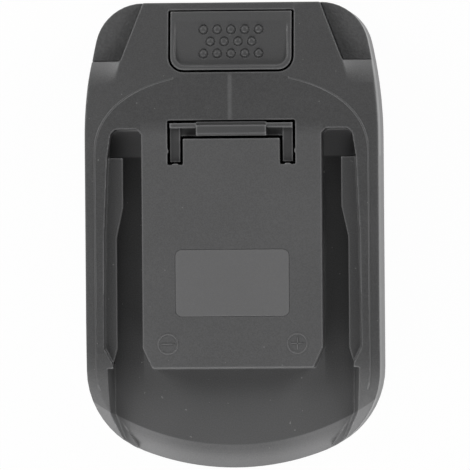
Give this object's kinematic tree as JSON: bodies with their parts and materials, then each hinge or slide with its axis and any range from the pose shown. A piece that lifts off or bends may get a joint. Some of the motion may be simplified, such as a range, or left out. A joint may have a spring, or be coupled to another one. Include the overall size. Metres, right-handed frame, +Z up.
{
  "type": "tool battery adapter",
  "caption": "Slide-on adapter with a battery bay below and a tongue, rail channels and a sprung release latch on top, for fitting a cordless tool to another system's battery.",
  "frame": {"origin": "middle of the bounding box, on the face that the adapter rests on", "axes": "+Z up to the tool side, +Y along the length to the release button, +X across"},
  "size_m": [0.0756, 0.12, 0.045],
  "materials": {
    "housing": "fine spark-eroded texture, charcoal grey",
    "pad": "coarse leather-like texture, charcoal grey",
    "button": "fine texture, charcoal grey",
    "latch": "smooth satin, charcoal grey",
    "label": "plain satin label",
    "inner_plastic": "plain moulded black",
    "steel": "zinc plated",
    "contact": "plated contact brass",
    "board": "green solder mask",
    "component": "moulded package",
    "ceramic": "ceramic",
    "red_insulation": "soft insulation",
    "black_insulation": "soft insulation",
    "yellow_insulation": "soft insulation"
  },
  "bodies": {
    "housing": {"top_shell": "housing", "bottom_shell": "housing", "corner_pads": "pad", "label_plate": "label", "latch_springs": "steel", "terminal_carrier": "inner_plastic", "positive_clip": "contact", "negative_clip": "contact", "signal_clips": "contact", "blade_block": "inner_plastic", "positive_blade": "contact", "negative_blade": "contact", "signal_blades": "contact", "circuit_board": "board", "cutoff_transistors": "component", "control_chip": "component", "id_resistors": "ceramic", "positive_wire": "red_insulation", "negative_wire": "black_insulation", "signal_wires": "yellow_insulation", "housing_screws": "steel", "board_screws": "steel", "carrier_screws": "steel", "block_screws": "steel"},
    "latch": {"release_button": "button", "latch_hook": "latch", "latch_carriage": "inner_plastic", "latch_screws": "steel"}
  },
  "joints": [
    {"name": "latch_press", "type": "slide", "parent": "housing", "child": "latch", "axis": [0, 0, -1], "range_m": [0, 0.0035], "stiffness_N_per_m": 900, "springref_m": -0.003, "deforming": ["latch_springs"]}
  ]
}
